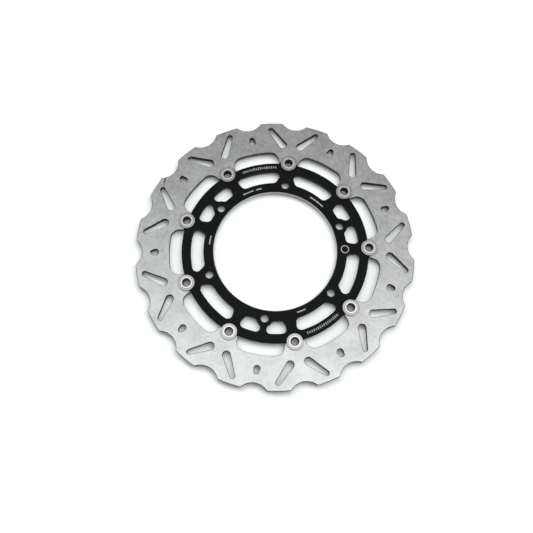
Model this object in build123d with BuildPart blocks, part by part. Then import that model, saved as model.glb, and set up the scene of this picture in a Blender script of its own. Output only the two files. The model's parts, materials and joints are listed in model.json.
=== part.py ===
# Floating motorcycle brake disc rotor: a stainless ring hung on an alloy carrier by nine riveted bobbins.
#
# Frame: +Z is the rotor's axis and points outboard, to the side that the bobbins' rolled lips are on.
# The origin is the centre of the hub bore, in the plane of the hub face. +Y passes through bobbin 1.

from build123d import *

import os
from math import cos, pi, radians, sin, sqrt

# ---- driving dimensions, in millimetres ----

# The pattern
BOBBINS = 9
BOBBIN_PITCH = 360 / BOBBINS
BOBBIN_CIRCLE = 100.5
BOLTS = 6
BOLT_PITCH = 360 / BOLTS
BOLT_CIRCLE = 75.0
FIRST_ANGLE = 90

# Thicknesses and levels: the hub face and the two pad tracks are ground a little proud
THICKNESS = 5.0
LAND = 0.1
BACK_LEVEL = LAND
FRONT_LEVEL = THICKNESS - LAND

# The brake ring
RING_OUTER = 149.0
TRACK_INNER = 114.2
LUG_INNER = 100.9
SCALLOPS = 18
SCALLOP_R = 18.0
SCALLOP_CIRCLE = 160.2
SCALLOP_CORNER = 1.2
WINDOW_OUTER = 113.2
WINDOW_HALF_WIDTH = 24.9
WINDOW_CORNER = 9.5
SLOT_OUTER_END = (25.4, 138.3, 2.6)
SLOT_INNER_END = (9.55, 122.6, 4.1)
EGG_WIDE_END = (127.5, 3.3)
EGG_NARROW_END = (130.55, 2.55)
RIM_CHAMFER = 0.45
CUT_CHAMFER = 0.3

# The carrier
CARRIER_OUTER = 100.1
BORE_R = 66.0
BORE_FRONT_CHAMFER = 1.2
BORE_BACK_CHAMFER = 0.5
BOLT_HOLE_R = 4.25
HUB_LAND_R = 83.5
OPENING_INNER = 76.8
OPENING_OUTER = 90.5
OPENING_FILLET = 5.0
# Half widths of a bobbin's spoke, and of one that holds a bolt too, at the openings' inner and outer arcs
SPOKE_ROOT = 6.8
SPOKE_TIP = 4.2
BOSS_SPOKE_ROOT = 11.1
BOSS_SPOKE_TIP = 4.25
# A narrow web runs out from the round boss of each bolt that has no bobbin in line with it
WEB_HALF_WIDTH = 3.35
WEB_BOSS_R = 8.35
WEB_FILLET = 4.2

# The bobbins: a barrel with a back flange, rolled over in front on a flat washer and a wave spring
BARREL_R = 6.2
BARREL_PLAY = 0.08
BORE_IN_BARREL_R = 3.9
FLANGE_R = 9.0
FLANGE_THICKNESS = 1.7
FLANGE_EDGE = 0.5
WAVE_OUTER_R = 8.3
WAVE_INNER_R = 6.6
WAVE_THICKNESS = 0.3
WAVE_SPACE = 0.6
WAVE_MARGIN = 0.02
WAVES = 3
WASHER_R = 8.5
WASHER_HOLE_R = BARREL_R + 0.05
WASHER_THICKNESS = 1.2
WASHER_BEVEL = 0.3
LIP_R = 6.6
LIP_HEIGHT = 0.8
LIP_ROUND = 0.6
FLARE_ROUND = 1.0
BORE_EDGE = 0.4

# ---- helpers ----


def bobbin_angle(number):
    """The angle of a bobbin, counted from 1 at +Y and counter-clockwise."""
    return FIRST_ANGLE + BOBBIN_PITCH * (number - 1)


def polar(radius, angle):
    """A point at an angle in degrees."""
    return (radius * cos(radians(angle)), radius * sin(radians(angle)))


def beside_spoke(radius, across, lean=0):
    """A point at a radius, some way across to the clockwise side of a spoke that leans clockwise from +Y."""
    along = sqrt(radius**2 - across**2)
    turn = radians(lean)
    return (along * sin(turn) + across * cos(turn), along * cos(turn) - across * sin(turn))


def arc_between(radius, start, end):
    """A minor arc about the origin, from start to end."""
    middle = (Vector(*start) + Vector(*end)).normalized() * radius
    return ThreePointArc(start, (middle.X, middle.Y), end)


def cut_edges(part, inner_r, outer_r, level):
    """The edges in a level plane whose middles lie between two radii."""
    return [
        edge
        for edge in part.edges().filter_by(Plane.XY)
        if abs(edge.center().Z - level) < 1e-3
        and inner_r < Vector(edge.position_at(0.5).X, edge.position_at(0.5).Y).length < outer_r
    ]


# ---- openings of the brake ring ----

# A window at the middle of a bay, between two lugs, seen with its centre line on +Y
with BuildSketch() as ring_window:
    Circle(WINDOW_OUTER)
    with Locations((0, WINDOW_OUTER)):
        Rectangle(2 * WINDOW_HALF_WIDTH, WINDOW_OUTER, mode=Mode.INTERSECT)
    fillet(ring_window.vertices().group_by(Axis.Y)[-1], WINDOW_CORNER)

# A tapered slot leaning outwards on the clockwise side of a bobbin that is on +Y
with BuildSketch() as tapered_slot:
    for slot_x, slot_y, slot_r in (SLOT_OUTER_END, SLOT_INNER_END):
        with Locations((slot_x, slot_y)):
            Circle(slot_r)
    make_hull()

# An egg-shaped hole, narrow end outwards, on +Y
with BuildSketch() as egg_hole:
    for egg_y, egg_r in (EGG_WIDE_END, EGG_NARROW_END):
        with Locations((0, egg_y)):
            Circle(egg_r)
    make_hull()

# ---- brake ring ----

with BuildSketch() as ring_track:
    Circle(RING_OUTER)
    with PolarLocations(SCALLOP_CIRCLE, SCALLOPS, start_angle=FIRST_ANGLE):
        Circle(SCALLOP_R, mode=Mode.SUBTRACT)
    fillet(ring_track.vertices(), SCALLOP_CORNER)
    Circle(TRACK_INNER, mode=Mode.SUBTRACT)

with BuildSketch() as ring_cuts:
    with PolarLocations(0, BOBBINS):
        add(tapered_slot.sketch)
        add(mirror(tapered_slot.sketch, about=Plane.YZ, mode=Mode.PRIVATE))
    with PolarLocations(0, BOBBINS, start_angle=BOBBIN_PITCH / 2):
        add(egg_hole.sketch)

with BuildSketch(Plane.XY.offset(BACK_LEVEL)) as ring_lugs:
    Circle(TRACK_INNER + LAND)
    Circle(LUG_INNER, mode=Mode.SUBTRACT)
    with PolarLocations(0, BOBBINS, start_angle=BOBBIN_PITCH / 2):
        add(ring_window.sketch, mode=Mode.SUBTRACT)

with BuildPart() as brake_ring:
    add(ring_track.sketch)
    extrude(amount=THICKNESS)
    for level in (0, THICKNESS):
        chamfer(cut_edges(brake_ring, TRACK_INNER + 1, RING_OUTER + 1, level), RIM_CHAMFER)
    add(ring_cuts.sketch)
    extrude(amount=THICKNESS, mode=Mode.SUBTRACT)
    chamfer(brake_ring.edges(Select.LAST).filter_by(Plane.XY), CUT_CHAMFER)
    add(ring_lugs.sketch)
    extrude(amount=FRONT_LEVEL - BACK_LEVEL)
    with BuildSketch() as ring_halves:
        with PolarLocations(BOBBIN_CIRCLE, BOBBINS, start_angle=FIRST_ANGLE):
            Circle(BARREL_R + BARREL_PLAY)
    extrude(amount=THICKNESS, mode=Mode.SUBTRACT)

brake_ring.part.label = "brake_ring"

# ---- openings of the carrier ----

# A large opening beside a spoke that holds both a bobbin and a bolt, on +Y; the next spoke leans to +X
with BuildSketch() as large_opening:
    with BuildLine():
        near_root = beside_spoke(OPENING_INNER, BOSS_SPOKE_ROOT)
        near_tip = beside_spoke(OPENING_OUTER, BOSS_SPOKE_TIP)
        far_tip = beside_spoke(OPENING_OUTER, -SPOKE_TIP, BOBBIN_PITCH)
        far_root = beside_spoke(OPENING_INNER, -SPOKE_ROOT, BOBBIN_PITCH)
        Line(near_root, near_tip)
        arc_between(OPENING_OUTER, near_tip, far_tip)
        Line(far_tip, far_root)
        arc_between(OPENING_INNER, far_root, near_root)
    make_face()
    fillet(large_opening.vertices(), OPENING_FILLET)

# A small opening beside a web on +Y, clear of the boss at its foot; the next spoke leans to +X
with BuildSketch() as small_opening:
    with BuildLine():
        web_root = beside_spoke(OPENING_INNER, WEB_HALF_WIDTH)
        web_tip = beside_spoke(OPENING_OUTER, WEB_HALF_WIDTH)
        far_tip = beside_spoke(OPENING_OUTER, -SPOKE_TIP, BOBBIN_PITCH / 2)
        far_root = beside_spoke(OPENING_INNER, -SPOKE_ROOT, BOBBIN_PITCH / 2)
        Line(web_root, web_tip)
        arc_between(OPENING_OUTER, web_tip, far_tip)
        Line(far_tip, far_root)
        arc_between(OPENING_INNER, far_root, web_root)
    make_face()
    with Locations((0, BOLT_CIRCLE)):
        Circle(WEB_BOSS_R, mode=Mode.SUBTRACT)
    fillet(small_opening.vertices().sort_by(Axis.X)[-2:], OPENING_FILLET)
    fillet(small_opening.vertices().sort_by(Axis.X)[:3], WEB_FILLET)

# ---- carrier ----

with BuildSketch() as carrier_plan:
    Circle(CARRIER_OUTER)
    Circle(BORE_R, mode=Mode.SUBTRACT)
    with PolarLocations(0, BOLTS // 2):
        add(large_opening.sketch, mode=Mode.SUBTRACT)
        add(mirror(large_opening.sketch, about=Plane.YZ, mode=Mode.PRIVATE), mode=Mode.SUBTRACT)
    with PolarLocations(0, BOLTS // 2, start_angle=BOLT_PITCH):
        add(small_opening.sketch, mode=Mode.SUBTRACT)
        add(mirror(small_opening.sketch, about=Plane.YZ, mode=Mode.PRIVATE), mode=Mode.SUBTRACT)

with BuildPart() as carrier:
    with BuildSketch(Plane.XY.offset(BACK_LEVEL)):
        add(carrier_plan.sketch)
    extrude(amount=FRONT_LEVEL - BACK_LEVEL)
    chamfer(cut_edges(carrier, BORE_R + 1, CARRIER_OUTER + 1, FRONT_LEVEL), CUT_CHAMFER)
    with BuildSketch(Plane.XY):
        add(carrier_plan.sketch)
        Circle(HUB_LAND_R, mode=Mode.INTERSECT)
    extrude(amount=BACK_LEVEL)
    chamfer(cut_edges(carrier, BORE_R - 1, BORE_R + 0.1, FRONT_LEVEL), BORE_FRONT_CHAMFER)
    chamfer(cut_edges(carrier, BORE_R - 1, BORE_R + 0.1, 0), BORE_BACK_CHAMFER)
    with BuildSketch(Plane.XY):
        with PolarLocations(BOLT_CIRCLE, BOLTS, start_angle=FIRST_ANGLE):
            Circle(BOLT_HOLE_R)
        with PolarLocations(BOBBIN_CIRCLE, BOBBINS, start_angle=FIRST_ANGLE):
            Circle(BARREL_R + BARREL_PLAY)
    extrude(amount=THICKNESS, mode=Mode.SUBTRACT)

carrier.part.label = "carrier"

# ---- one bobbin set, on the Z axis ----

WASHER_BOTTOM = FRONT_LEVEL + WAVE_SPACE
WASHER_TOP = WASHER_BOTTOM + WASHER_THICKNESS
LIP_TOP = WASHER_TOP + LIP_HEIGHT
FLANGE_BACK = BACK_LEVEL - FLANGE_THICKNESS

with BuildPart() as bobbin:
    with BuildSketch(Plane.XZ):
        with BuildLine():
            Polyline(
                (BORE_IN_BARREL_R, FLANGE_BACK),
                (FLANGE_R, FLANGE_BACK),
                (FLANGE_R, BACK_LEVEL),
                (BARREL_R, BACK_LEVEL),
                (BARREL_R, WASHER_TOP),
                (LIP_R, WASHER_TOP),
                (LIP_R, LIP_TOP),
                (BORE_IN_BARREL_R, LIP_TOP),
                close=True,
            )
        make_face()
    revolve(axis=Axis.Z)
    chamfer(cut_edges(bobbin, FLANGE_R - 0.1, FLANGE_R + 0.1, FLANGE_BACK), FLANGE_EDGE)
    chamfer(cut_edges(bobbin, BORE_IN_BARREL_R - 0.1, BORE_IN_BARREL_R + 0.1, FLANGE_BACK), BORE_EDGE)
    fillet(cut_edges(bobbin, LIP_R - 0.1, LIP_R + 0.1, LIP_TOP), LIP_ROUND)
    fillet(cut_edges(bobbin, BORE_IN_BARREL_R - 0.1, BORE_IN_BARREL_R + 0.1, LIP_TOP), FLARE_ROUND)

with BuildPart() as flat_washer:
    with BuildSketch(Plane.XY.offset(WASHER_BOTTOM)):
        Circle(WASHER_R)
        Circle(WASHER_HOLE_R, mode=Mode.SUBTRACT)
    extrude(amount=WASHER_THICKNESS)
    chamfer(cut_edges(flat_washer, WASHER_R - 0.1, WASHER_R + 0.1, WASHER_TOP), WASHER_BEVEL)

# The wave spring: a flat strip swept round a ring that rises and falls three times
WAVE_MIDDLE_R = (WAVE_OUTER_R + WAVE_INNER_R) / 2
WAVE_LEVEL = FRONT_LEVEL + WAVE_SPACE / 2
WAVE_HEIGHT = (WAVE_SPACE - WAVE_THICKNESS) / 2 - WAVE_MARGIN
WAVE_POINTS = 8 * WAVES


def wave_point(step):
    """A point of the strip's middle line; the line has WAVE_POINTS of them."""
    rise = WAVE_HEIGHT * sin(2 * pi * WAVES * step / WAVE_POINTS)
    return (*polar(WAVE_MIDDLE_R, 360 * step / WAVE_POINTS), WAVE_LEVEL + rise)


with BuildPart() as wave_washer:
    with BuildLine() as wave_line:
        Spline([wave_point(step) for step in range(WAVE_POINTS)], periodic=True)
    with BuildSketch(Plane(wave_line.line @ 0, x_dir=(1, 0, 0), z_dir=wave_line.line % 0)):
        Rectangle(WAVE_OUTER_R - WAVE_INNER_R, WAVE_THICKNESS)
    # A guide ring straight above keeps the strip level across its width
    sweep(binormal=Edge.make_circle(WAVE_MIDDLE_R, Plane.XY.offset(6 * WAVE_MIDDLE_R)))

# ---- a set at each place, and the files ----

os.makedirs("parts", exist_ok=True)
export_step(brake_ring.part, "parts/brake_ring.step")
export_step(carrier.part, "parts/carrier.step")

bobbin_set = {"bobbin": bobbin, "flat_washer": flat_washer, "wave_washer": wave_washer}
for number in range(1, BOBBINS + 1):
    place = Location(polar(BOBBIN_CIRCLE, bobbin_angle(number)), bobbin_angle(number))
    for name, one in bobbin_set.items():
        with BuildPart() as placed:
            with Locations(place):
                add(one.part)
        placed.part.label = f"{name}_{number}"
        export_step(placed.part, f"parts/{name}_{number}.step")
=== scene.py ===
"""Looks of the floating brake disc rotor: its materials, and the floor, light and camera around it."""

import json
from math import cos, pi, radians, sin, sqrt

import bpy
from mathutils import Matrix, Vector

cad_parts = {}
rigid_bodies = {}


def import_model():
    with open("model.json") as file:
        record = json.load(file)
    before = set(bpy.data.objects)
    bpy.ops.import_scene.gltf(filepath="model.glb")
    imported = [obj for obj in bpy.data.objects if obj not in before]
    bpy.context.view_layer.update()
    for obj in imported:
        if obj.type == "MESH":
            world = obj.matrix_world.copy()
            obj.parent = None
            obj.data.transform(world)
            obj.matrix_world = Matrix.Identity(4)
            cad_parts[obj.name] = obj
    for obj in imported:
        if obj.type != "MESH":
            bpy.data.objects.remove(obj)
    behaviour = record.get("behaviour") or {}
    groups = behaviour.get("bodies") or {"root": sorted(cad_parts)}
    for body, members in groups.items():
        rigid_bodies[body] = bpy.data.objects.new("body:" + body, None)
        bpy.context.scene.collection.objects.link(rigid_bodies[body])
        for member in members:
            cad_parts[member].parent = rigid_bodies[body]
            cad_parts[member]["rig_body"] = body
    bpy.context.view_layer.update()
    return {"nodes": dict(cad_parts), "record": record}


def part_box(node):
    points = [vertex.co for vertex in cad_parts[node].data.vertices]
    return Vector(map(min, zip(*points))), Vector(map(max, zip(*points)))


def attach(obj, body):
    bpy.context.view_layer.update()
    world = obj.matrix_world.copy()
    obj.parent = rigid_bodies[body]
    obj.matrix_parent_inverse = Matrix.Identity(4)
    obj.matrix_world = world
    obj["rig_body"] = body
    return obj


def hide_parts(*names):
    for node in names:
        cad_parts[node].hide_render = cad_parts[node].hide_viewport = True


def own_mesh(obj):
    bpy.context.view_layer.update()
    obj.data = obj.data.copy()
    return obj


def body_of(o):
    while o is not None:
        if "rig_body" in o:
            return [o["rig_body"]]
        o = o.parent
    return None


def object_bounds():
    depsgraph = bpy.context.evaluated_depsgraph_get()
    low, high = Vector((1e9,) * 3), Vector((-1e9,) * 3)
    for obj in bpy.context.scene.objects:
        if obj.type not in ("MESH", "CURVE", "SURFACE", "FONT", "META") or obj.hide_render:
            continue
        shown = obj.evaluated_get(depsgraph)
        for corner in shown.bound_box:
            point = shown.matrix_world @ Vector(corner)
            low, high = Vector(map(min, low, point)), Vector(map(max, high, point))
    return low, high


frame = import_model()

MM = 0.001
# Samples of a Bevel node, which finds the edges near a point
EDGE_SAMPLES = 6

# ---- sizes that the materials and the floor follow, read from the frame ----

mounts = {mount["name"]: mount for mount in frame["record"]["mounts"]}
BORE_R = mounts["hub_bore"]["dims"]["r_mm"] * MM
RING_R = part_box("brake_ring")[1].x
FRONT_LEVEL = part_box("carrier")[1].z
first_low, first_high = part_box("bobbin_1")
BOBBIN_CIRCLE_R = (first_low.y + first_high.y) / 2
BOBBINS = sum(name.startswith("bobbin_") for name in frame["nodes"])
BOBBIN_STEP = 2 * pi / BOBBINS
# Bobbin 1 stands on +Y, and the others follow at equal steps
FIRST_ANGLE = pi / 2
FLOOR_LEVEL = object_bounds()[0][2]


class Graph:
    """The node tree of one material, with a short call for each kind of node that it needs."""

    def __init__(self, name):
        self.material = bpy.data.materials.new(name)
        self.material.use_nodes = True
        self.tree = self.material.node_tree
        self.shader = self.tree.nodes["Principled BSDF"]
        self.place = self.node("TexCoord").outputs["Object"]
        self.split_place = self.split(self.place)

    def node(self, kind, **settings):
        """A new shader node with these settings."""
        made = self.tree.nodes.new("ShaderNode" + kind)
        for key, value in settings.items():
            setattr(made, key, value)
        return made

    def feed(self, socket, value):
        """Links a socket, or sets it where the value is a plain number or colour."""
        if isinstance(value, bpy.types.NodeSocket):
            self.tree.links.new(value, socket)
        else:
            socket.default_value = value

    def math(self, operation, a, b=0.0, c=0.0):
        made = self.node("Math", operation=operation)
        for socket, value in zip(made.inputs, (a, b, c)):
            self.feed(socket, value)
        return made.outputs[0]

    def split(self, vector):
        made = self.node("SeparateXYZ")
        self.feed(made.inputs[0], vector)
        return made.outputs

    def join(self, x, y, z):
        made = self.node("CombineXYZ")
        for socket, value in zip(made.inputs, (x, y, z)):
            self.feed(socket, value)
        return made.outputs[0]

    def noise(self, vector, scale, detail=2.0, roughness=0.5):
        made = self.node("TexNoise")
        self.feed(made.inputs["Vector"], vector)
        self.feed(made.inputs["Scale"], scale)
        self.feed(made.inputs["Detail"], detail)
        self.feed(made.inputs["Roughness"], roughness)
        return made.outputs["Fac"]

    def fit(self, value, low, high, to_low=0.0, to_high=1.0):
        """The value's stretch from low to high, mapped to another stretch and held at its ends."""
        made = self.node("MapRange")
        for socket, number in zip(made.inputs, (value, low, high, to_low, to_high)):
            self.feed(socket, number)
        return made.outputs[0]

    def band(self, value, low, high, edge):
        """1 where the value lies between low and high, 0 elsewhere, with soft edges."""
        rise = self.fit(value, low - edge, low + edge)
        fall = self.fit(value, high - edge, high + edge, 1.0, 0.0)
        return self.math("MULTIPLY", rise, fall)

    def mix(self, factor, a, b):
        """A blend of two colours, which a Mix node takes in sockets 6 and 7 and gives in socket 2."""
        made = self.node("Mix", data_type="RGBA")
        self.feed(made.inputs[0], factor)
        self.feed(made.inputs[6], a)
        self.feed(made.inputs[7], b)
        return made.outputs[2]

    def ramp(self, value, *stops):
        """A colour ramp through (position, grey or colour) stops."""
        made = self.node("ValToRGB")
        elements = made.color_ramp.elements
        while len(elements) < len(stops):
            elements.new(0.5)
        for element, (position, colour) in zip(elements, stops):
            element.position = position
            element.color = (*colour, 1.0)
        self.feed(made.inputs[0], value)
        return made.outputs[0]

    def bump(self, height, distance, strength=1.0, over=None):
        """A normal bumped by a height, over another bumped normal where one is given."""
        made = self.node("Bump")
        self.feed(made.inputs["Strength"], strength)
        self.feed(made.inputs["Distance"], distance)
        self.feed(made.inputs["Height"], height)
        if over:
            self.feed(made.inputs["Normal"], over)
        return made.outputs["Normal"]

    def radius(self, x, y):
        """How far (x, y) lies from the origin."""
        return self.math("SQRT", self.math("MULTIPLY_ADD", x, x, self.math("MULTIPLY", y, y)))

    def polar(self):
        """The distance from the rotor's axis, and the angle from +X."""
        x, y, _ = self.split_place
        return self.radius(x, y), self.math("ARCTAN2", y, x)

    def from_nearest_bobbin(self):
        """Places seen from the axis of the nearest bobbin, outwards along X."""
        r, angle = self.polar()
        from_first = self.math("SUBTRACT", angle, FIRST_ANGLE)
        turn = self.math("WRAP", from_first, BOBBIN_STEP / 2, -BOBBIN_STEP / 2)
        x = self.math("SUBTRACT", self.math("MULTIPLY", r, self.math("COSINE", turn)), BOBBIN_CIRCLE_R)
        y = self.math("MULTIPLY", r, self.math("SINE", turn))
        return x, y

    def slope(self):
        """1 on faces that lie flat, 0 on upright walls."""
        normal = self.split(self.node("NewGeometry").outputs["True Normal"])
        return self.math("ABSOLUTE", normal[2])

    def wall(self):
        """1 on chamfers and upright walls, 0 on faces that lie flat."""
        return self.fit(self.slope(), 0.95, 0.8)

    def edge_turn(self, width):
        """1 away from edges, and less where an edge is nearer than the width."""
        rounded = self.node("Bevel", samples=EDGE_SAMPLES)
        self.feed(rounded.inputs["Radius"], width)
        turn = self.node("VectorMath", operation="DOT_PRODUCT")
        self.feed(turn.inputs[0], rounded.outputs["Normal"])
        self.feed(turn.inputs[1], self.node("NewGeometry").outputs["True Normal"])
        return turn.outputs["Value"]

    def finish(self, colour, roughness, normal, **fixed):
        """Feeds the shader, sets the sockets that are the same all over, and gives the material."""
        self.feed(self.shader.inputs["Base Color"], colour)
        self.feed(self.shader.inputs["Roughness"], roughness)
        self.feed(self.shader.inputs["Normal"], normal)
        for key, value in fixed.items():
            self.shader.inputs[key.replace("_", " ")].default_value = value
        return self.material


# ---- materials ----


def grey(level, warmth=0.0):
    """A grey, a little warmer or cooler."""
    return (level * (1 + warmth), level, level * (1 - warmth))


# The ring's face, from its darkest patches to its brightest
FACE_DARK = grey(0.64, 0.004)
FACE_BRIGHT = grey(0.96, 0.004)
# Its mottling at three sizes, as noise scales in cells for each metre
DRIFT_SCALE = 45.0
CLOUD_SCALE = 240.0
SPECK_SCALE = 900.0
# The grinding lines: cells for each metre outwards and each radian round, and their lean in radians
# for each metre outwards
LINE_SCALE = 2600.0
LINE_TURN_SCALE = 24.0
GRINDING_LEAN = 0.9 / (20 * MM)
# Painted shade: a dark ring on the face just round each washer
WASHER_SHADE_INNER = 8.7 * MM
WASHER_SHADE_OUTER = 9.6 * MM
WASHER_SHADE_GREY = (*grey(0.25), 1.0)
WASHER_SHADE_STRENGTH = 0.55
# Painted shade: a dark line just inside each cut edge of the face, but not at the low step between track and
# lugs
EDGE_SHADE_WIDTH = 0.45 * MM
WINDOW_EDGE_SHADE_WIDTH = 0.8 * MM
EDGE_SHADE_GREY = (*grey(0.04), 1.0)
EDGE_SHADE_STRENGTH = 0.95
STEP_R = 114.2 * MM
# The ring's cut walls and chamfers are dark as cut steel with painted shade: those of the slots lie within
# this radius, and are painted darker than the outline's as shade
SLOT_REACH = 141.8 * MM
SLOT_WALL_SHADE_DARK = grey(0.015, 0.03)
SLOT_WALL_SHADE_LIGHT = grey(0.035, 0.03)
OUTLINE_DARK = grey(0.07, 0.03)
OUTLINE_LIGHT = grey(0.13, 0.03)
# Streaks on those walls: cells for each radian round and each metre of height
STREAK_TURN_SCALE = 260.0
STREAK_SCALE = 120.0
# A short dark line on the ring's face, near its rim
DARK_LINE_START = (-131.4 * MM, 64.5 * MM)
DARK_LINE_END = (-132.1 * MM, 51.0 * MM)
DARK_LINE_WIDTH = 1.3 * MM
DARK_LINE_GREY = (*grey(0.06), 1.0)
DARK_LINE_STRENGTH = 0.95


def dark_line_mask(g):
    """1 along the dark line, fading towards its inner end."""
    x, y, _ = g.split_place
    run_x, run_y = DARK_LINE_END[0] - DARK_LINE_START[0], DARK_LINE_END[1] - DARK_LINE_START[1]
    length = sqrt(run_x**2 + run_y**2)
    run_x, run_y = run_x / length, run_y / length
    from_x, from_y = g.math("SUBTRACT", x, DARK_LINE_START[0]), g.math("SUBTRACT", y, DARK_LINE_START[1])
    along = g.math("ADD", g.math("MULTIPLY", from_x, run_x), g.math("MULTIPLY", from_y, run_y))
    across = g.math("SUBTRACT", g.math("MULTIPLY", from_y, run_x), g.math("MULTIPLY", from_x, run_y))
    fade = g.math("MULTIPLY", g.fit(along, 0.0, 1.0 * MM), g.fit(along, 0.3 * length, length, 1.0, 0.0))
    line = g.fit(g.math("ABSOLUTE", across), 0.2 * DARK_LINE_WIDTH, 0.8 * DARK_LINE_WIDTH, 1.0, 0.0)
    return g.math("MULTIPLY", line, fade)


def grinding_lines(g):
    """Fine lines left by the grinding wheel, in two crossing sweeps."""
    r, angle = g.polar()
    sweeps = []
    for lean in (GRINDING_LEAN, -GRINDING_LEAN):
        swept = g.math("ADD", angle, g.math("MULTIPLY", r, lean))
        place = g.join(g.math("MULTIPLY", r, LINE_SCALE), g.math("MULTIPLY", swept, LINE_TURN_SCALE), 0.0)
        sweeps.append(g.noise(place, 1.0, 3.0, 0.6))
    return g.math("ADD", g.math("MULTIPLY", sweeps[0], 0.5), g.math("MULTIPLY", sweeps[1], 0.5))


def painted_edge_shade(g):
    """1 just inside the face's cut edges, where shade is painted, wider at the windows, and 0 at the step,
    which is no cut.
    """
    r, _ = g.polar()
    width = g.fit(r, STEP_R, STEP_R + 0.5 * MM, WINDOW_EDGE_SHADE_WIDTH, EDGE_SHADE_WIDTH)
    edge_shade = g.fit(g.edge_turn(width), 0.999, 0.975)
    step = g.band(r, STEP_R - 0.4 * MM, STEP_R + 0.7 * MM, 0.05 * MM)
    return g.math("MULTIPLY", edge_shade, g.math("SUBTRACT", 1.0, step))


def ring_walls(g):
    """The streaks across the ring's cut walls, and the walls' colour: dark as cut steel with painted shade,
    darkest in the slots.
    """
    r, angle = g.polar()
    round_place = g.math("MULTIPLY", angle, STREAK_TURN_SCALE)
    place = g.join(round_place, g.math("MULTIPLY", g.split_place[2], STREAK_SCALE), r)
    streaks = g.noise(place, 1.0, 3.0)
    outline = g.ramp(streaks, (0.3, OUTLINE_DARK), (0.7, OUTLINE_LIGHT))
    # Painted shade: the slots' walls are darker still
    slots = g.ramp(streaks, (0.3, SLOT_WALL_SHADE_DARK), (0.7, SLOT_WALL_SHADE_LIGHT))
    colour = g.mix(g.band(r, STEP_R + 0.5 * MM, SLOT_REACH, 0.5 * MM), outline, slots)
    return streaks, colour


def ground_steel():
    """Surface-ground stainless: crossing lines, clouding, painted shade in a ring round each washer and just
    inside the cut edges.
    """
    g = Graph("ground_stainless")
    wall = g.wall()
    lines = grinding_lines(g)
    clouds = g.noise(g.place, CLOUD_SCALE, 4.0, 0.6)
    specks = g.noise(g.place, SPECK_SCALE, 3.0, 0.65)
    drifts = g.noise(g.place, DRIFT_SCALE, 2.0)
    tone = g.math("ADD", g.math("MULTIPLY", clouds, 0.65), g.math("MULTIPLY", specks, 0.35))
    tone = g.math("ADD", g.math("MULTIPLY", tone, 0.65), g.math("MULTIPLY", drifts, 0.35))
    tone = g.math("ADD", tone, g.math("MULTIPLY_ADD", lines, 0.3, -0.15))
    face = g.ramp(tone, (0.36, FACE_DARK), (0.64, FACE_BRIGHT))
    # Painted shade just inside the cut edges
    face = g.mix(g.math("MULTIPLY", painted_edge_shade(g), EDGE_SHADE_STRENGTH), face, EDGE_SHADE_GREY)
    # Painted shade in a ring round each washer
    x, y = g.from_nearest_bobbin()
    washer_shade = g.band(g.radius(x, y), WASHER_SHADE_INNER, WASHER_SHADE_OUTER, 0.25 * MM)
    face = g.mix(g.math("MULTIPLY", washer_shade, WASHER_SHADE_STRENGTH), face, WASHER_SHADE_GREY)
    face = g.mix(g.math("MULTIPLY", dark_line_mask(g), DARK_LINE_STRENGTH), face, DARK_LINE_GREY)
    streaks, side = ring_walls(g)
    colour = g.mix(wall, face, side)
    roughness = g.math("ADD", g.fit(lines, 0.3, 0.7, 0.25, 0.33), g.fit(clouds, 0.35, 0.65, 0.0, 0.07))
    roughness = g.math("MULTIPLY_ADD", wall, 0.25, roughness)
    normal = g.bump(lines, 0.01 * MM, 0.5, g.bump(g.math("MULTIPLY", wall, streaks), 0.05 * MM))
    return g.finish(colour, roughness, normal, Metallic=0.94)


# Generic etched ticks on the carrier's front, where the angles are in degrees and the lengths in mm:
# start and end angle, middle radius, height, pitch, strength
TICK_ROWS = (
    (97.5, 121.0, 95.3, 3.4, 2.4, 0.4),
    (298.5, 322.0, 95.3, 3.4, 2.4, 0.4),
    (110.4, 115.5, 71.5, 1.8, 1.2, 0.9),
    (118.0, 127.6, 71.5, 1.8, 1.2, 0.9),
    (52.0, 66.5, 71.5, 1.8, 1.2, 0.9),
    (176.0, 184.0, 70.7, 1.8, 1.2, 0.9),
    (297.0, 304.5, 71.5, 1.8, 1.2, 0.9),
)


def on_front(g):
    """1 on the carrier's front face."""
    return g.fit(g.split_place[2], FRONT_LEVEL - 0.2 * MM, FRONT_LEVEL - 0.1 * MM)


def tick_mask(g):
    """Rows of plain ticks of uneven length, as on a worn scale."""
    r, angle = g.polar()
    turn = g.math("WRAP", angle, 2 * pi, 0.0)
    total = 0.0
    for start, end, middle, height, pitch, strength in TICK_ROWS:
        middle, height, pitch = middle * MM, height * MM, pitch * MM
        count = g.math("DIVIDE", g.math("SUBTRACT", turn, radians(start)), pitch / middle)
        cell = g.math("FLOOR", count)
        across = g.math("FRACT", count)
        draw = g.node("TexWhiteNoise", noise_dimensions="1D")
        g.feed(draw.inputs["W"], g.math("ADD", cell, start))
        reach = g.fit(draw.outputs["Value"], 0.0, 1.0, 0.3 * height, 0.5 * height)
        off = g.math("ABSOLUTE", g.math("SUBTRACT", r, middle))
        inside = g.fit(g.math("SUBTRACT", off, reach), -0.1 * MM, 0.1 * MM, 1.0, 0.0)
        bar = g.band(across, 0.2, 0.7, 0.06)
        row = g.math("MULTIPLY", g.band(turn, radians(start), radians(end), radians(0.1)), strength)
        total = g.math("ADD", total, g.math("MULTIPLY", g.math("MULTIPLY", inside, bar), row))
    return total


# A plain ring mark on one spoke
RING_MARK = (73.7 * MM, 12.2 * MM)
RING_MARK_R = 4.4 * MM
RING_MARK_LINE = 0.9 * MM
RING_MARK_STRENGTH = 0.5
# The carrier's colours: its etched marks, its anodised black and the bare wall of its bore
ETCHED_GREY = (0.72, 0.72, 0.73, 1.0)
BLACK_DARK = (0.002, 0.0022, 0.0026)
BLACK_LIGHT = (0.005, 0.0055, 0.006)
BARE_DARK = grey(0.6)
BARE_LIGHT = grey(0.72)


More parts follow.
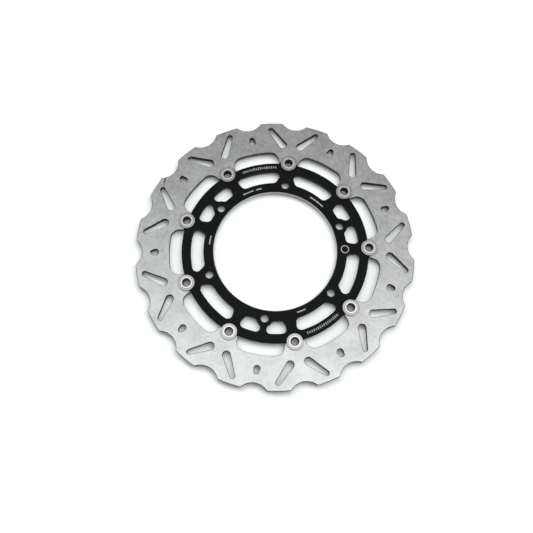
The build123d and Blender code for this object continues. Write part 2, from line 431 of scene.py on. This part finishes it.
def black_anodised():
    """Matt black hard-anodised aluminium, laser-etched marks, and a bare machined hub bore."""
    g = Graph("black_anodised")
    grain = g.noise(g.place, 2600.0, 3.0, 0.6)
    clouds = g.noise(g.place, 60.0, 3.0)
    tone = g.math("ADD", g.math("MULTIPLY", grain, 0.5), g.math("MULTIPLY", clouds, 0.5))
    black = g.ramp(tone, (0.3, BLACK_DARK), (0.7, BLACK_LIGHT))
    x, y, _ = g.split_place
    from_mark = g.radius(g.math("SUBTRACT", x, RING_MARK[0]), g.math("SUBTRACT", y, RING_MARK[1]))
    ring_mark = g.band(from_mark, RING_MARK_R - RING_MARK_LINE, RING_MARK_R, 0.1 * MM)
    marks = g.math("ADD", tick_mask(g), g.math("MULTIPLY", ring_mark, RING_MARK_STRENGTH))
    etched = g.math("MULTIPLY", marks, on_front(g))
    colour = g.mix(etched, black, ETCHED_GREY)
    r, _ = g.polar()
    bare = g.math("MULTIPLY", g.wall(), g.fit(r, BORE_R + 0.2 * MM, BORE_R + 0.5 * MM, 1.0, 0.0))
    colour = g.mix(bare, colour, g.ramp(grain, (0.3, BARE_DARK), (0.7, BARE_LIGHT)))
    dull = g.math("ADD", g.fit(grain, 0.3, 0.7, 0.42, 0.55), g.math("MULTIPLY", etched, 0.1))
    roughness = g.math("MULTIPLY_ADD", bare, -0.25, dull)
    g.feed(g.shader.inputs["Metallic"], bare)
    normal = g.bump(grain, 0.02 * MM, 0.6)
    return g.finish(colour, roughness, normal, Specular_IOR_Level=0.15)


# Painted shade on the walls and bores of the turned parts
BORE_AND_WALL_SHADE_GREY = (0.03, 0.03, 0.03, 1.0)


def turned_steel(name, low, high, ring_scale, rough, wall_shade, metallic, bore_shade_within=0.0):
    """Turned and plated steel: fine rings about each bobbin's own axis, clouding, and painted shade on the
    upright walls and in the bobbin's bore, which are also rougher.
    """
    g = Graph(name)
    x, y = g.from_nearest_bobbin()
    r = g.radius(x, y)
    rings = g.noise(g.join(g.math("MULTIPLY", r, ring_scale), 0.0, 0.0), 1.0, 3.0)
    clouds = g.noise(g.place, 500.0, 3.0, 0.6)
    tone = g.math("ADD", g.math("MULTIPLY", rings, 0.4), g.math("MULTIPLY", clouds, 0.6))
    # Painted shade: the bobbin's bore and the upright walls go to a near-black grey, and are made rougher
    bore = g.fit(r, bore_shade_within - 0.2 * MM, bore_shade_within + 0.2 * MM, 0.9, 0.0)
    dull = g.math("MAXIMUM", bore, g.fit(g.slope(), 0.35, 0.1, 0.0, wall_shade))
    colour = g.mix(dull, g.ramp(tone, (0.3, low), (0.7, high)), BORE_AND_WALL_SHADE_GREY)
    roughness = g.math("MULTIPLY_ADD", dull, 0.3, g.fit(tone, 0.3, 0.7, *rough))
    normal = g.bump(rings, 0.02 * MM, 0.5)
    return g.finish(colour, roughness, normal, Metallic=metallic)


def dress(prefix, material):
    """Gives a material to every CAD node whose name starts with the prefix."""
    for name, piece in frame["nodes"].items():
        if name.startswith(prefix):
            piece.data.materials.clear()
            piece.data.materials.append(material)


dress("brake_ring", ground_steel())
dress("carrier", black_anodised())
LIP = turned_steel(
    "rolled_steel",
    low=(0.9, 0.89, 0.86),
    high=(0.98, 0.97, 0.94),
    ring_scale=5000.0,
    rough=(0.18, 0.26),
    wall_shade=1.0,
    metallic=0.8,
    bore_shade_within=4.7 * MM,
)
WASHER = turned_steel(
    "plated_washer",
    low=(0.66, 0.66, 0.62),
    high=(0.8, 0.8, 0.76),
    ring_scale=4000.0,
    rough=(0.28, 0.38),
    wall_shade=0.9,
    metallic=1.0,
)
SPRING = turned_steel(
    "spring_strip",
    low=(0.2, 0.19, 0.18),
    high=(0.3, 0.29, 0.27),
    ring_scale=3000.0,
    rough=(0.35, 0.45),
    wall_shade=0.5,
    metallic=1.0,
)
dress("bobbin_", LIP)
dress("flat_washer_", WASHER)
dress("wave_washer_", SPRING)


# ---- wave washers, copied from the frame ----


def flattening_spring(number):
    """Stands for a wave washer of the frame: a copy of its mesh on the same body, with the frame's own node
    hidden.
    """
    node = f"wave_washer_{number}"
    spring = bpy.data.objects.new(f"wave_spring_{number}", frame["nodes"][node].data.copy())
    bpy.context.collection.objects.link(spring)
    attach(spring, body_of(frame["nodes"][node])[0])
    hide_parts(node)
    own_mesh(spring)


for number in range(1, BOBBINS + 1):
    flattening_spring(number)


# ---- floor, light and camera ----

# The floor's side, as a multiple of the ring's radius, and the colours of its paper
FLOOR_SIZE = 40
FLOOR_DARK = (0.872, 0.89, 0.886)
FLOOR_LIGHT = (0.892, 0.91, 0.906)
# The sky: one bright patch overhead, longer along X than along Y, and a dim rest
SKY_COLOUR = (0.975, 0.99, 1.0, 1.0)
SKY_PATCH = (0.05, -0.09, 1.0)
SKY_STRETCH = (0.52, 1.0, 1.0)
SKY_INNER = radians(5)
SKY_OUTER = radians(29.5)
SKY_HIGH = 1.32
SKY_LOW = 0.13
# Pale walls round the horizon: full below one height and gone above the other, as sines of the elevation
WALL_FULL = 0.15
WALL_TOP = 0.5
WALL_GLOW = 0.6
# The key light: a long soft strip, high up beyond the disc's far side
KEY_DISTANCE = 6.0
KEY_TILT = radians(31)
KEY_TURN = radians(10)
KEY_LENGTH = 22.0
KEY_WIDTH = 4.1
KEY_RADIANCE = 3.12
# The camera stands over the disc's lower side, a little rolled
CAMERA_LENS = 42.55
CAMERA_PLACE = (0.0108, -0.1913, 0.6514)
CAMERA_TURN = (radians(14.92), radians(-0.77), radians(8.65))


def floor():
    """A plain pale floor just under the flanges."""
    bpy.ops.mesh.primitive_plane_add(size=FLOOR_SIZE * RING_R, location=(0, 0, FLOOR_LEVEL))
    plane = bpy.context.object
    plane.name = "floor"
    g = Graph("pale_floor")
    paper = g.noise(g.place, 300.0, 3.0)
    colour = g.ramp(paper, (0.0, FLOOR_DARK), (1.0, FLOOR_LIGHT))
    g.finish(colour, 0.8, g.bump(paper, 0.02 * MM), Specular_IOR_Level=0.2)
    plane.data.materials.append(g.material)


def key():
    """The soft strip light, which lights the floor and doesn't glint in the metal."""
    data = bpy.data.lights.new("key", "AREA")
    data.shape = "RECTANGLE"
    data.size = KEY_LENGTH
    data.size_y = KEY_WIDTH
    data.energy = KEY_RADIANCE * pi * KEY_LENGTH * KEY_WIDTH
    light = bpy.data.objects.new("key", data)
    bpy.context.collection.objects.link(light)
    away = KEY_DISTANCE * sin(KEY_TILT)
    light.location = (away * sin(KEY_TURN), away * cos(KEY_TURN), KEY_DISTANCE * cos(KEY_TILT))
    light.rotation_euler = (-KEY_TILT, 0.0, -KEY_TURN)
    light.visible_glossy = False


def sky():
    """A dim dome of light with one bright patch, and pale walls round the horizon."""
    world = bpy.data.worlds.new("studio")
    world.use_nodes = True
    tree = world.node_tree
    background = tree.nodes["Background"]
    background.inputs["Color"].default_value = SKY_COLOUR

    def node(kind, **settings):
        made = tree.nodes.new("ShaderNode" + kind)
        for key, value in settings.items():
            setattr(made, key, value)
        return made

    def smooth_step(*numbers):
        """A smooth step between two inputs, from one output to another."""
        made = node("MapRange", interpolation_type="SMOOTHSTEP")
        for socket, number in zip(made.inputs[1:], numbers):
            socket.default_value = number
        return made

    direction = node("TexCoord").outputs["Generated"]
    narrowed = node("VectorMath", operation="MULTIPLY")
    narrowed.inputs[1].default_value = SKY_STRETCH
    unit = node("VectorMath", operation="NORMALIZE")
    nearness = node("VectorMath", operation="DOT_PRODUCT")
    nearness.inputs[1].default_value = Vector(SKY_PATCH).normalized()
    patch = smooth_step(cos(SKY_OUTER), cos(SKY_INNER), SKY_LOW, SKY_HIGH)
    height = node("SeparateXYZ")
    walls = smooth_step(WALL_FULL, WALL_TOP, WALL_GLOW, 0.0)
    total = node("Math")
    for output, socket in (
        (direction, narrowed.inputs[0]),
        (narrowed.outputs["Vector"], unit.inputs[0]),
        (unit.outputs["Vector"], nearness.inputs[0]),
        (nearness.outputs["Value"], patch.inputs[0]),
        (direction, height.inputs[0]),
        (height.outputs["Z"], walls.inputs[0]),
        (patch.outputs[0], total.inputs[0]),
        (walls.outputs[0], total.inputs[1]),
        (total.outputs[0], background.inputs["Strength"]),
    ):
        tree.links.new(output, socket)
    bpy.context.scene.world = world


def camera():
    """The camera, looking down at the disc."""
    data = bpy.data.cameras.new("camera")
    data.sensor_width = 36.0
    data.lens = CAMERA_LENS
    eye = bpy.data.objects.new("camera", data)
    bpy.context.collection.objects.link(eye)
    eye.location = CAMERA_PLACE
    eye.rotation_euler = CAMERA_TURN
    bpy.context.scene.camera = eye


floor()
key()
sky()
camera()
bpy.context.scene.view_settings.view_transform = "Standard"
